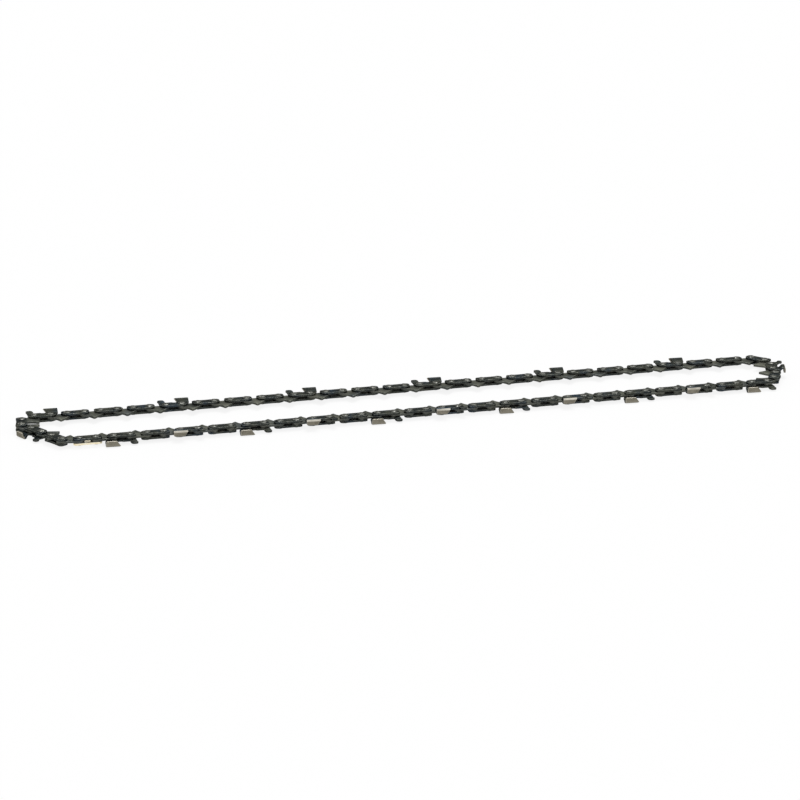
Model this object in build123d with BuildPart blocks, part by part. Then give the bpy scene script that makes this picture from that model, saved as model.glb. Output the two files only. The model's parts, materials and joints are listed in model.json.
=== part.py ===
from build123d import *
import copy
import math
import os

os.makedirs("parts", exist_ok=True)

# A saw chain loop lying on its side, in millimetres. Rivets stand upright, along Z.
# Each link is drawn in its own frame: the rear rivet at the origin, X along the chain's
# travel, Y towards the inside of the loop, and Z = 0 at the middle of the drive links.

# Chain body
pitch = 9.32  # rivet to rivet
drive_gauge = 1.27  # thickness of a drive link, the width of the guide bar groove
plate_thickness = 1.1  # tie straps and cutters
side_play = 0.08  # between a drive link and each plate beside it
hub_play = 0.05  # radial running fit of a drive link on a rivet hub
rivet_fit = 0.02  # between a rivet and the plates that it holds

# Rivet
hub_radius = 2.0
shank_radius = 1.5
head_radius = 2.25
head_crown_radius = 1.35
head_height = 0.6
head_rim = 0.2

# Tie strap
strap_end_radius = 3.2
strap_corner_radius = 1.8  # outer corners
strap_waist = 0.3  # dip of the outer edge between them

# Drive link
drive_end_radius = 3.0
drive_saddle = 0.7  # dip of the outer edge between the rivets
tang_depth = 9.0  # from the rivet line to the tip
tang_tip_radius = 0.75
tang_tip_setback = 0.2  # tip behind the middle of the link
tang_hook = 1.2  # hollow of the tang's leading side
tang_front_angle = 60  # where the leading side leaves the front end, below the rivet line
tang_rear_angle = 48  # where the trailing side leaves the rear end

# Cutter
cutter_height = 7.4  # from the rivet line to the cutting corner
half_kerf = 3.2  # from the middle of the chain to a cutter's outer side
top_plate_width = 3.4
top_plate_length = 8.0
top_plate_overhang = 4.7  # length of the top plate behind the rear rivet
filing_angle = 30
top_plate_relief = 4  # fall of the top plate towards its rear, in degrees
corner_radius = 1.0  # outer bend between side plate and top plate
side_plate_foot = 3.4  # height at which the side plate starts to lean out
lean_rise = 1.5  # height over which it leans out
gauge_drop = 0.65  # depth gauge below the cutting corner
gauge_top_length = 3.7
gauge_corner_radius = 1.5
gauge_lead = 0.6  # front of its top ahead of the front of the side plate
gauge_set_in = 0.75  # its outer side, inside the outer side of the blade
gauge_rear_slope = 0.6
file_radius = 1.9  # round hollow in front of the cutting edge
gullet_floor = 2.5  # lowest point of that hollow above the rivet line
gullet_ahead = 3.6  # hollow ahead of the rear rivet

# Loop: two straight sides, and an end at each hand where every link turns by itself.
# Link k runs from rivet k to rivet k + 1, and the marked link at the start of the near side is 0.
near_pairs = 21  # pairs of links in the near side
far_pairs = 23  # pairs of links in the far side
right_turns = (0, 42, 20, 14, 0, 14, 38, 52)  # degrees at each rivet, from near side to far side
left_turns = (36, 46)  # degrees at the first rivets after the far side
left_run = 4  # links in line after those, before the last link closes the loop

# Levels of the plates, from the middle of the drive links
plate_inner = drive_gauge / 2 + side_play
plate_outer = plate_inner + plate_thickness
head_seat = plate_outer + rivet_fit
middle_height = half_kerf
hole_radius = shank_radius + rivet_fit

# Front end of straps and side plates
plate_front = pitch + strap_end_radius


with BuildPart() as drive_link:
    tip_x = pitch / 2 - tang_tip_setback
    tip_y = tang_depth - tang_tip_radius
    slant = math.radians(tang_rear_angle)
    front = math.radians(tang_front_angle)
    rear_foot = (-drive_end_radius * math.sin(slant), drive_end_radius * math.cos(slant))
    front_foot = (
        pitch + drive_end_radius * math.cos(front),
        drive_end_radius * math.sin(front),
    )
    tip_rear = (tip_x - tang_tip_radius * math.sin(slant), tip_y + tang_tip_radius * math.cos(slant))
    tip_front = (tip_x + tang_tip_radius, tip_y)
    hollow = ((front_foot[0] + tip_front[0]) / 2 - tang_hook, (front_foot[1] + tip_front[1]) / 2)
    with BuildSketch(Plane.XY.offset(-drive_gauge / 2)):
        with BuildLine():
            ThreePointArc(
                (0, -drive_end_radius),
                (pitch / 2, drive_saddle - drive_end_radius),
                (pitch, -drive_end_radius),
            )
            ThreePointArc((pitch, -drive_end_radius), (pitch + drive_end_radius, 0), front_foot)
            ThreePointArc(front_foot, hollow, tip_front)
            ThreePointArc(tip_front, (tip_x, tang_depth), tip_rear)
            Line(tip_rear, rear_foot)
            ThreePointArc(rear_foot, (-drive_end_radius, 0), (0, -drive_end_radius))
        make_face()
        with Locations((0, 0), (pitch, 0)):
            Circle(hub_radius + hub_play, mode=Mode.SUBTRACT)
    extrude(amount=drive_gauge)
drive_link.part.label = "drive_link"


with BuildPart() as upper_strap:
    with BuildSketch(Plane.XY.offset(plate_inner)):
        with BuildLine():
            Line((0, strap_end_radius), (pitch, strap_end_radius))
            RadiusArc((pitch, strap_end_radius), (plate_front, 0), strap_end_radius)
            Line((plate_front, 0), (plate_front, -strap_end_radius))
            ThreePointArc(
                (plate_front, -strap_end_radius),
                (pitch / 2, strap_waist - strap_end_radius),
                (-strap_end_radius, -strap_end_radius),
            )
            Line((-strap_end_radius, -strap_end_radius), (-strap_end_radius, 0))
            RadiusArc((-strap_end_radius, 0), (0, strap_end_radius), strap_end_radius)
        make_face()
        fillet(vertices().group_by(Axis.Y)[0], strap_corner_radius)
        with Locations((0, 0), (pitch, 0)):
            Circle(hole_radius, mode=Mode.SUBTRACT)
    extrude(amount=plate_thickness)
upper_strap.part.label = "upper_strap"


with BuildPart() as rivet:
    with BuildSketch(Plane.XZ):
        with BuildLine():
            Polyline(
                (0, 0),
                (hub_radius, 0),
                (hub_radius, plate_inner - rivet_fit),
                (shank_radius, plate_inner - rivet_fit),
                (shank_radius, head_seat),
                (head_radius, head_seat),
                (head_radius, head_seat + head_rim),
                (head_crown_radius, head_seat + head_height),
                (0, head_seat + head_height),
                close=True,
            )
        make_face()
        mirror(about=Plane.XZ)
    revolve(axis=Axis.Z)
rivet.part.label = "rivet"


# The depth gauge of the upper cutter: it leans out from the foot of the side plate,
# less far than the blade does
lean_top = side_plate_foot + lean_rise
foot_root = side_plate_foot - plate_thickness
gauge_height = cutter_height - gauge_drop
gauge_front = plate_front + gauge_lead
gauge_rear = gauge_front - gauge_top_length
gauge_outer = half_kerf - gauge_set_in

with BuildPart() as depth_gauge:
    with BuildSketch(Plane.XY.offset(plate_inner)):
        with BuildLine():
            Polyline(
                (plate_front, -foot_root),
                (gauge_front, -gauge_height),
                (gauge_rear, -gauge_height),
                (gauge_rear - gauge_rear_slope, -foot_root),
                close=True,
            )
        make_face()
        fillet(vertices().group_by(Axis.Y)[0], gauge_corner_radius)
    extrude(amount=gauge_outer - plate_inner)
    with BuildSketch(Plane.YZ):
        with BuildLine():
            Polyline(
                (-foot_root, plate_inner),
                (-side_plate_foot, plate_inner),
                (-lean_top, gauge_outer - plate_thickness),
                (-gauge_height, gauge_outer - plate_thickness),
                (-gauge_height, gauge_outer),
                (-lean_top, gauge_outer),
                (-side_plate_foot, plate_outer),
                (-foot_root, plate_outer),
                close=True,
            )
        make_face()
    extrude(amount=gauge_front, mode=Mode.INTERSECT)


# The upper cutter: its side plate lies over the drive links and its top plate folds back across
with BuildPart() as upper_cutter:
    blade_rear = -top_plate_overhang
    blade_front = blade_rear + top_plate_length
    fall = top_plate_length * math.tan(math.radians(top_plate_relief))
    top_inner = half_kerf - top_plate_width
    skew = math.tan(math.radians(filing_angle))
    # Folded section at the rear of the blade, lower there by the fall of the top plate
    with BuildSketch(Plane.YZ.offset(blade_rear)):
        with BuildLine():
            Polyline(
                (fall - foot_root, plate_inner),
                (fall - side_plate_foot, plate_inner),
                (fall - lean_top, half_kerf - plate_thickness),
                (fall - cutter_height + plate_thickness, half_kerf - plate_thickness),
                (fall - cutter_height + plate_thickness, top_inner),
                (fall - cutter_height, top_inner),
                (fall - cutter_height, half_kerf),
                (fall - lean_top, half_kerf),
                (fall - side_plate_foot, plate_outer),
                (fall - foot_root, plate_outer),
                close=True,
            )
        make_face()
        outer_corner = vertices().group_by(Axis.X)[0].sort_by(Axis.Y)[-1]
        fillet(outer_corner, corner_radius)
    extrude(amount=math.hypot(top_plate_length, fall), dir=(top_plate_length, -fall, 0))
    # The cutting edge runs back from the outer corner at the filing angle
    with BuildSketch(Plane.XZ):
        with BuildLine():
            Polyline(
                (blade_front + plate_thickness * skew, half_kerf + plate_thickness),
                (blade_front - 2 * top_plate_width * skew, half_kerf - 2 * top_plate_width),
                (blade_front + pitch, half_kerf - 2 * top_plate_width),
                (blade_front + pitch, half_kerf + plate_thickness),
                close=True,
            )
        make_face()
    extrude(amount=2 * cutter_height, mode=Mode.SUBTRACT)
    # Side plate, with its depth gauge ahead of the blade
    foot_front = blade_front - (half_kerf - plate_inner) * skew
    with BuildSketch(Plane.XY.offset(plate_inner)):
        with BuildLine():
            Line((0, strap_end_radius), (pitch, strap_end_radius))
            RadiusArc((pitch, strap_end_radius), (plate_front, 0), strap_end_radius)
            Polyline(
                (plate_front, 0),
                (plate_front, -side_plate_foot),
                (foot_front, -side_plate_foot),
                (blade_rear, fall - side_plate_foot),
                (-strap_end_radius, 0),
            )
            RadiusArc((-strap_end_radius, 0), (0, strap_end_radius), strap_end_radius)
        make_face()
    extrude(amount=plate_thickness)
    add(depth_gauge.part)
    # Round hollow left by the file, along the cutting edge
    plate_middle = (plate_inner + plate_outer) / 2
    file_line = Plane(
        origin=(gullet_ahead, -gullet_floor - file_radius, plate_middle),
        x_dir=(0, 1, 0),
        z_dir=(skew, 0, 1),
    )
    with BuildSketch(file_line):
        Circle(file_radius)
    extrude(amount=2 * top_plate_width, both=True, mode=Mode.SUBTRACT)
    # Rivet holes
    with BuildSketch(Plane.XY.offset(plate_inner)):
        with Locations((0, 0), (pitch, 0)):
            Circle(hole_radius)
    extrude(amount=plate_thickness, mode=Mode.SUBTRACT)
upper_cutter.part.label = "upper_cutter"


# The lower cutter and the lower tie strap are the same forms for the other side
with BuildPart() as lower_cutter:
    mirror(upper_cutter.part, about=Plane.XY)
lower_cutter.part.label = "lower_cutter"


with BuildPart() as lower_strap:
    mirror(upper_strap.part, about=Plane.XY)
lower_strap.part.label = "lower_strap"


# Path of the rivets, seen from above: along the near side, round the right end, and back
right_end = 2 * near_pairs
far_side = right_end + len(right_turns) - 1
left_end = far_side + 2 * far_pairs
headings = []
rivet_points = [Vector(0, 0, middle_height)]


def lay_links(count, heading):
    """Lengthen the path by links in line."""
    for _ in range(count):
        headings.append(heading)
        rivet_points.append(rivet_points[-1] + Vector(pitch, 0, 0).rotate(Axis.Z, heading))


def heading_of(way):
    """Direction of a vector seen from above, in degrees."""
    return math.degrees(math.atan2(way.Y, way.X))


path_heading = 0
lay_links(right_end, path_heading)
for turn in right_turns[:-1]:
    path_heading += turn
    lay_links(1, path_heading)
path_heading += right_turns[-1]
lay_links(2 * far_pairs, path_heading)
for turn in left_turns:
    path_heading += turn
    lay_links(1, path_heading)

# The links in line and the last link close the loop, as two sides of a triangle
gap = rivet_points[0] - rivet_points[-1]
run_length = left_run * pitch
run_cosine = (run_length**2 + gap.length**2 - pitch**2) / (2 * run_length * gap.length)
lay_links(left_run, heading_of(gap) - math.degrees(math.acos(run_cosine)))
lay_links(1, heading_of(rivet_points[0] - rivet_points[-1]))
link_count = len(headings)


def link_plane(k):
    """Frame of link k."""
    along = Vector(1, 0, 0).rotate(Axis.Z, headings[k])
    return Plane(origin=rivet_points[k], x_dir=along, z_dir=(0, 0, 1))


def kind_of(k):
    """Name of link k: every second link is a drive link, every fourth a cutter."""
    if k % 2:
        return "drive_link"
    if k % 4 == 0:
        return "tie_straps"
    return "upper_cutter" if k % 8 == 6 else "lower_cutter"


def placed(piece, plane):
    """A copy of a piece, moved to a plane."""
    copied = copy.copy(piece).moved(plane.location)
    copied.label = piece.label
    return copied


def link_pieces(k):
    """All the separate pieces of link k, with a lower plate first."""
    if kind_of(k) == "drive_link":
        return [placed(drive_link.part, link_plane(k))]
    lower_plate = lower_cutter if kind_of(k) == "lower_cutter" else lower_strap
    upper_plate = upper_cutter if kind_of(k) == "upper_cutter" else upper_strap
    return [
        placed(lower_plate.part, link_plane(k)),
        placed(upper_plate.part, link_plane(k)),
        placed(rivet.part, link_plane(k)),
        placed(rivet.part, link_plane((k + 1) % link_count)),
    ]


nodes = {}

# Each link of an end turns by itself
for end, first, stop in (("right", right_end, far_side), ("left", left_end, link_count)):
    for k in range(first, stop):
        nodes[f"{end}_end_{k - first + 1}_{kind_of(k)}"] = link_pieces(k)

# In the straight sides a link of plates and the drive link beside it are a pair
for side, first, pairs in (("near", 0, near_pairs), ("far", far_side, far_pairs)):
    for pair in range(pairs):
        k = first + 2 * pair
        plates = k + k % 2
        nodes[f"{side}_pair_{pair + 1:02d}_{kind_of(plates)}"] = link_pieces(k) + link_pieces(k + 1)

# The lower strap of the marked link is gold
nodes["gold_marker_strap"] = [nodes[f"near_pair_01_{kind_of(0)}"].pop(0)]

# The middle of the loop stands over the origin
boxes = [piece.bounding_box() for pieces in nodes.values() for piece in pieces]
loop_middle = Vector(
    (min(box.min.X for box in boxes) + max(box.max.X for box in boxes)) / 2,
    (min(box.min.Y for box in boxes) + max(box.max.Y for box in boxes)) / 2,
)

# Each node is a group of separate solids that move as one
for name, pieces in nodes.items():
    node = Compound(label=name, children=[placed(piece, Plane(-loop_middle)) for piece in pieces])
    export_step(node, f"parts/{name}.step")
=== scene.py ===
"""The looks of a saw chain loop that lies on its side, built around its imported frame."""

import json
import logging
import math
from collections.abc import Iterator
from dataclasses import dataclass, field
from enum import Enum
from typing import Any

import bmesh
import bpy
from mathutils import Matrix, Vector

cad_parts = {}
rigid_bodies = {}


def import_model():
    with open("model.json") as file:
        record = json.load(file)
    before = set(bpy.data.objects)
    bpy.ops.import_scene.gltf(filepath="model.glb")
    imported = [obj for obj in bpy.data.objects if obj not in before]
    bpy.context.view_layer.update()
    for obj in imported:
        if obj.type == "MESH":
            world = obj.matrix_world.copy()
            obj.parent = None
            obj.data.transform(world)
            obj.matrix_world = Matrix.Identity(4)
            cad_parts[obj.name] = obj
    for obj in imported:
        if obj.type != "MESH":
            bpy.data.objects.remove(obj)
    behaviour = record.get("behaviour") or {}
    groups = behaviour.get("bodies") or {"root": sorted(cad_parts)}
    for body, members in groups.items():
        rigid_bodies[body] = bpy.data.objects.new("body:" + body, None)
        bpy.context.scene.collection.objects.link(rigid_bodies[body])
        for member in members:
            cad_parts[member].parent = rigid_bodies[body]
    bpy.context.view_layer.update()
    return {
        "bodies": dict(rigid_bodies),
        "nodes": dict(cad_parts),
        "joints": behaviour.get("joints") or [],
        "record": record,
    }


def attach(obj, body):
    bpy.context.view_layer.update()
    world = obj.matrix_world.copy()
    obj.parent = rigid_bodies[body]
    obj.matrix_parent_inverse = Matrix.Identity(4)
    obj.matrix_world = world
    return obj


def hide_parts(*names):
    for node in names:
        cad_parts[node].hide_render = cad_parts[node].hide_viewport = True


LOG = logging.getLogger("saw_chain")
MM = 0.001
WELD = 1e-4 * MM  # points nearer than this are one
ROUNDED_FROM = 50.0  # edges that turn by more degrees than this are rounded
ROUND_SEGMENTS = 2
SHADED_SHARP_FROM = 28.0  # edges that turn by more degrees than this are shaded sharp
UP = (0.0, 0.0, 1.0)
WHITE = (1.0, 1.0, 1.0, 1.0)
# name of the face layer for edge wear, which also carries the painted highlight on the cutters'
# bends
WORN_EDGE_AND_BEND_HIGHLIGHT = "worn_edge_and_bend_highlight"
TURNED_RING = "turned_ring"
FIRST_PIVOT = "pivot_of_near_pair_01_tie_straps"
MARKER_NODE = "gold_marker_strap"
Pair = tuple[float, float]
Triple = tuple[float, float, float]
Colour = tuple[float, float, float, float]


class LinkKind(Enum):
    """What a link of the chain is."""

    DRIVE_LINK = "drive_link"
    TIE_STRAPS = "tie_straps"
    UPPER_CUTTER = "upper_cutter"
    LOWER_CUTTER = "lower_cutter"


class Side(Enum):
    """The face of the chain that a plate lies on, as the sign of its height."""

    UPPER = 1.0
    LOWER = -1.0


class Slot(Enum):
    """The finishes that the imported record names."""

    LINK_STEEL = "link_steel"
    CUTTER_PLATING = "cutter_plating"
    GOLD_STRAP = "gold_strap"


def centre_through(start: Vector, middle: Vector, end: Vector) -> Vector:
    """Centre of the circle through three points of a plane.

    Args:
        start: First point.
        middle: Second point.
        end: Third point.

    Returns:
        The centre.
    """
    first, second = middle - start, end - start
    double_area = 2 * first.cross(second)
    offset = Vector(
        (
            second.y * first.length_squared - first.y * second.length_squared,
            first.x * second.length_squared - second.x * first.length_squared,
        )
    )
    return start + offset / double_area


class PlateEdge:
    """A closed edge of sheet metal, drawn point by point in the XY plane."""

    def __init__(self, x: float, y: float) -> None:
        """Put the pen down.

        Args:
            x: Start of the edge along the link.
            y: Start of the edge across the link.
        """
        self.bm = bmesh.new()
        self.first = Vector((x, y))
        self.pen = self.bm.verts.new((x, y, 0.0))

    def line_to(self, x: float, y: float) -> "PlateEdge":
        """Draw a straight edge.

        Args:
            x: Its end along the link.
            y: Its end across the link.

        Returns:
            The edge itself, to draw on.
        """
        drawn = bmesh.ops.extrude_vert_indiv(self.bm, verts=[self.pen])
        self.pen = drawn["verts"][0]
        self.pen.co = (x, y, 0.0)
        return self

    def arc_about(self, x: float, y: float, degrees: float, steps: int) -> "PlateEdge":
        """Draw an arc about a centre.

        Args:
            x: Centre along the link.
            y: Centre across the link.
            degrees: Turn of the arc, anticlockwise.
            steps: Straight steps that the arc is made of.

        Returns:
            The edge itself, to draw on.
        """
        spun = bmesh.ops.spin(
            self.bm,
            geom=[self.pen],
            cent=(x, y, 0.0),
            axis=UP,
            angle=math.radians(degrees),
            steps=steps,
        )
        self.pen = next(g for g in spun["geom_last"] if isinstance(g, bmesh.types.BMVert))
        return self

    def arc_through(self, middle: Pair, end: Pair, steps: int) -> "PlateEdge":
        """Draw an arc through a point.

        Args:
            middle: A point of the arc.
            end: Its end.
            steps: Straight steps that the arc is made of.

        Returns:
            The edge itself, to draw on.
        """
        start = self.pen.co.to_2d()
        centre = centre_through(start, Vector(middle), Vector(end))
        leave, arrive = start - centre, Vector(end) - centre
        turn = math.atan2(arrive.y, arrive.x) - math.atan2(leave.y, leave.x)
        anticlockwise = (Vector(middle) - start).cross(Vector(end) - start) > 0
        sweep = turn % math.tau if anticlockwise else -(-turn % math.tau)
        return self.arc_about(centre.x, centre.y, math.degrees(sweep), steps)

    def rivet_line(self, first: float, last: float, hole: float, steps: int) -> "PlateEdge":
        """Draw along the rivet line, round the near half of both rivet holes.

        Args:
            first: Rivet that is met first, along the link.
            last: Rivet that is met last.
            hole: Radius of the holes.
            steps: Straight steps of each half hole.

        Returns:
            The edge itself, to draw on.
        """
        ahead = math.copysign(hole, last - first)
        for rivet in (first, last):
            self.line_to(rivet - ahead, 0.0)
            self.arc_about(rivet, 0.0, -180.0, steps)
        return self

    def fill_into(self, plate: bmesh.types.BMesh) -> None:
        """Close the edge, fill it and add the sheet to a plate.

        Args:
            plate: Plate that gets the sheet.
        """
        self.line_to(self.first.x, self.first.y)
        bmesh.ops.remove_doubles(self.bm, verts=self.bm.verts[:], dist=WELD)
        bmesh.ops.contextual_create(self.bm, geom=self.bm.edges[:])
        sheet = bpy.data.meshes.new("sheet")
        self.bm.to_mesh(sheet)
        self.bm.free()
        plate.from_mesh(sheet)
        bpy.data.meshes.remove(sheet)


def thicken(plate: bmesh.types.BMesh, thickness: float) -> None:
    """Give a flat sheet its thickness, upwards.

    Args:
        plate: Sheet in the XY plane.
        thickness: Thickness of the metal.
    """
    bmesh.ops.remove_doubles(plate, verts=plate.verts[:], dist=WELD)
    raised = bmesh.ops.extrude_face_region(plate, geom=plate.faces[:])
    top = [g for g in raised["geom"] if isinstance(g, bmesh.types.BMVert)]
    bmesh.ops.translate(plate, verts=top, vec=(0.0, 0.0, thickness))
    bmesh.ops.recalc_face_normals(plate, faces=plate.faces[:])


def break_edges(plate: bmesh.types.BMesh, radius: float) -> None:
    """Round the sharp edges of a plate, and mark them in the layer of edge wear.

    Args:
        plate: Closed plate.
        radius: Width that the edges are rounded by.
    """
    limit = math.radians(ROUNDED_FROM)
    sharp = [e for e in plate.edges if e.is_manifold and e.calc_face_angle() > limit]
    rounded = bmesh.ops.bevel(
        plate,
        geom=sharp,
        offset=radius,
        offset_type="OFFSET",
        segments=ROUND_SEGMENTS,
        profile=0.5,
        affect="EDGES",
        clamp_overlap=True,
        material=-1,
    )
    wear_and_highlight = plate.faces.layers.float[WORN_EDGE_AND_BEND_HIGHLIGHT]
    for face in rounded["faces"]:
        face[wear_and_highlight] = 1.0


def press(
    halves: tuple[PlateEdge, PlateEdge], thickness: float, level: float, edge_break: float
) -> bmesh.types.BMesh:
    """Press a plate from two halves that meet at the rivet line.

    Args:
        halves: Edges of the halves.
        thickness: Thickness of the metal.
        level: Level of its lower face.
        edge_break: Width that its edges are rounded by.

    Returns:
        The plate, with a layer for the wear of its edges, which the cutters also use for a painted
        highlight.
    """
    plate = bmesh.new()
    plate.faces.layers.float.new(WORN_EDGE_AND_BEND_HIGHLIGHT)
    for half in halves:
        half.fill_into(plate)
    thicken(plate, thickness)
    bmesh.ops.translate(plate, verts=plate.verts[:], vec=(0.0, 0.0, level))
    break_edges(plate, edge_break)
    return plate


def as_mesh(shape: bmesh.types.BMesh, name: str) -> bpy.types.Mesh:
    """Turn a shape into a mesh, and free it.

    Args:
        shape: Finished shape.
        name: Name of the mesh.

    Returns:
        The mesh.
    """
    mesh = bpy.data.meshes.new(name)
    shape.to_mesh(mesh)
    shape.free()
    return mesh


@dataclass(frozen=True)
class ChainGauge:
    """Sizes that all links share, and the levels of the plates from the middle of the chain."""

    pitch: float = 9.32 * MM
    drive_gauge: float = 1.27 * MM
    plate_thickness: float = 1.1 * MM
    side_play: float = 0.08 * MM
    hub_play: float = 0.05 * MM
    rivet_fit: float = 0.02 * MM
    hub_radius: float = 2.0 * MM
    shank_radius: float = 1.5 * MM
    strap_end_radius: float = 3.2 * MM
    half_kerf: float = 3.2 * MM
    edge_break: float = 0.13 * MM
    hole_steps: int = 9
    end_steps: int = 8

    @property
    def plate_inner(self) -> float:
        """Level of the inner face of the upper plates."""
        return self.drive_gauge / 2 + self.side_play

    @property
    def plate_outer(self) -> float:
        """Level of the outer face of the upper plates."""
        return self.plate_inner + self.plate_thickness

    @property
    def head_seat(self) -> float:
        """Level at which the rivet heads start."""
        return self.plate_outer + self.rivet_fit

    @property
    def plate_hole(self) -> float:
        """Radius of the rivet holes in straps and cutters."""
        return self.shank_radius + self.rivet_fit


@dataclass(frozen=True)
class DriveLink:
    """The flat plate between the straps, with the tang that runs in the guide bar."""

    gauge: ChainGauge
    end_radius: float = 3.0 * MM
    saddle: float = 0.7 * MM
    tang_depth: float = 9.0 * MM
    tip_radius: float = 0.75 * MM
    tip_setback: float = 0.2 * MM
    hook: float = 1.2 * MM
    front_angle: float = 60.0
    rear_angle: float = 48.0
    end_steps: int = 7
    hollow_steps: int = 8
    foot_steps: int = 4
    tip_steps: int = 6

    def _outer_half(self) -> PlateEdge:
        """The half with the saddle, outside the rivet line.

        Returns:
            Its edge.
        """
        pitch, end = self.gauge.pitch, self.end_radius
        edge = PlateEdge(-end, 0.0)
        edge.arc_about(0.0, 0.0, 90.0, self.end_steps)
        edge.arc_through((pitch / 2, self.saddle - end), (pitch, -end), self.hollow_steps)
        edge.arc_about(pitch, 0.0, 90.0, self.end_steps)
        return edge.rivet_line(pitch, 0.0, self._hole(), self.gauge.hole_steps)

    def _tang_half(self) -> PlateEdge:
        """The half with the tang, inside the rivet line.

        Returns:
            Its edge.
        """
        pitch, end, tip = self.gauge.pitch, self.end_radius, self.tip_radius
        front, rear = math.radians(self.front_angle), math.radians(self.rear_angle)
        tip_x = pitch / 2 - self.tip_setback
        tip_y = self.tang_depth - tip
        foot = Vector((pitch + end * math.cos(front), end * math.sin(front)))
        tip_front = Vector((tip_x + tip, tip_y))
        tip_rear = (tip_x - tip * math.sin(rear), tip_y + tip * math.cos(rear))
        hollow = (foot + tip_front) / 2 - Vector((self.hook, 0.0))
        edge = PlateEdge(pitch + end, 0.0)
        edge.arc_about(pitch, 0.0, self.front_angle, self.foot_steps)
        edge.arc_through(tuple(hollow), tuple(tip_front), self.hollow_steps)
        edge.arc_through((tip_x, self.tang_depth), tip_rear, self.tip_steps)
        edge.line_to(-end * math.sin(rear), end * math.cos(rear))
        edge.arc_about(0.0, 0.0, 90.0 - self.rear_angle, self.foot_steps)
        return edge.rivet_line(0.0, pitch, self._hole(), self.gauge.hole_steps)

    def _hole(self) -> float:
        """Radius of the holes that turn on the rivet hubs."""
        return self.gauge.hub_radius + self.gauge.hub_play

    def mesh(self) -> bpy.types.Mesh:
        """Build the plate.

        Returns:
            Its mesh, in the frame of a link.
        """
        halves = (self._outer_half(), self._tang_half())
        thickness = self.gauge.drive_gauge
        plate = press(halves, thickness, -thickness / 2, self.gauge.edge_break)
        return as_mesh(plate, "drive_link")


@dataclass(frozen=True)
class TieStrap:
    """The flat strap that ties two rivets, with a waist in its outer edge."""

    gauge: ChainGauge
    corner: float = 1.8 * MM
    waist: float = 0.3 * MM
    corner_steps: int = 6
    waist_steps: int = 8

    def _outer_half(self) -> PlateEdge:
        """The half with the waist, outside the rivet line.

        Returns:
            Its edge.
        """
        pitch, end, corner = self.gauge.pitch, self.gauge.strap_end_radius, self.corner
        edge = PlateEdge(-end, 0.0)
        edge.line_to(-end, corner - end)
        edge.arc_about(corner - end, corner - end, 90.0, self.corner_steps)
        waist, far_corner = (pitch / 2, self.waist - end), (pitch + end - corner, -end)
        edge.arc_through(waist, far_corner, self.waist_steps)
        edge.arc_about(pitch + end - corner, corner - end, 90.0, self.corner_steps)
        edge.line_to(pitch + end, 0.0)
        return edge.rivet_line(pitch, 0.0, self.gauge.plate_hole, self.gauge.hole_steps)

    def _inner_half(self) -> PlateEdge:
        """The half with the straight edge that glides on the guide bar.

        Returns:
            Its edge.
        """
        pitch, end = self.gauge.pitch, self.gauge.strap_end_radius
        edge = PlateEdge(pitch + end, 0.0)
        edge.arc_about(pitch, 0.0, 90.0, self.gauge.end_steps)
        edge.line_to(0.0, end)
        edge.arc_about(0.0, 0.0, 90.0, self.gauge.end_steps)
        return edge.rivet_line(0.0, pitch, self.gauge.plate_hole, self.gauge.hole_steps)

    def mesh(self) -> bpy.types.Mesh:
        """Build the upper strap.

        Returns:
            Its mesh, in the frame of a link.
        """
        gauge, halves = self.gauge, (self._outer_half(), self._inner_half())
        plate = press(halves, gauge.plate_thickness, gauge.plate_inner, gauge.edge_break)
        return as_mesh(plate, "tie_strap")


@dataclass(frozen=True)
class Rivet:
    """A rivet: hub, two shanks, and two heads that are spun over to a shallow dish."""

    gauge: ChainGauge
    head_radius: float = 2.25 * MM
    head_height: float = 0.6 * MM
    head_rim: float = 0.22 * MM
    crown_radius: float = 1.45 * MM
    dish_radius: float = 0.7 * MM
    dish_depth: float = 0.1 * MM
    steps: int = 16

    def _upper_profile(self) -> list[Pair]:
        """The upper half in section, from the middle of the hub to the middle of the dish.

        Returns:
            Radius and height of each corner.
        """
        seat = self.gauge.head_seat
        shoulder = self.gauge.plate_inner - self.gauge.rivet_fit
        crown = seat + self.head_height
        return [
            (self.gauge.hub_radius, 0.0),
            (self.gauge.hub_radius, shoulder),
            (self.gauge.shank_radius, shoulder),
            (self.gauge.shank_radius, seat),
            (self.head_radius, seat),
            (self.head_radius, seat + self.head_rim),
            (self.crown_radius, crown),
            (self.dish_radius, crown - self.dish_depth / 2),
            (0.0, crown - self.dish_depth),
        ]

    def mesh(self) -> bpy.types.Mesh:
        """Spin the rivet from its profile.

        Returns:
            Its mesh, about the Z axis.
        """
        shape = bmesh.new()
        ring = shape.verts.layers.float.new(TURNED_RING)
        corners = [shape.verts.new((r, 0.0, z)) for r, z in self._upper_profile()]
        for lower, upper in zip(corners, corners[1:]):
            shape.edges.new((lower, upper))
        bmesh.ops.spin(
            shape,
            geom=shape.verts[:] + shape.edges[:],
            cent=(0.0, 0.0, 0.0),
            axis=UP,
            angle=math.tau,
            steps=self.steps,
            use_merge=True,
        )
        bmesh.ops.mirror(
            shape,
            geom=shape.verts[:] + shape.edges[:] + shape.faces[:],
            matrix=Matrix.Identity(4),
            merge_dist=WELD,
            axis="Z",
        )
        bmesh.ops.remove_doubles(shape, verts=shape.verts[:], dist=WELD)
        bmesh.ops.recalc_face_normals(shape, faces=shape.faces[:])
        for vert in shape.verts:
            vert[ring] = vert.co.to_2d().length / MM
        return as_mesh(shape, "rivet")


@dataclass(frozen=True)
class Fold:
    """A stretch of the line that the side plate and top plate are folded along."""

    length: float
    turn: float = 0.0


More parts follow.
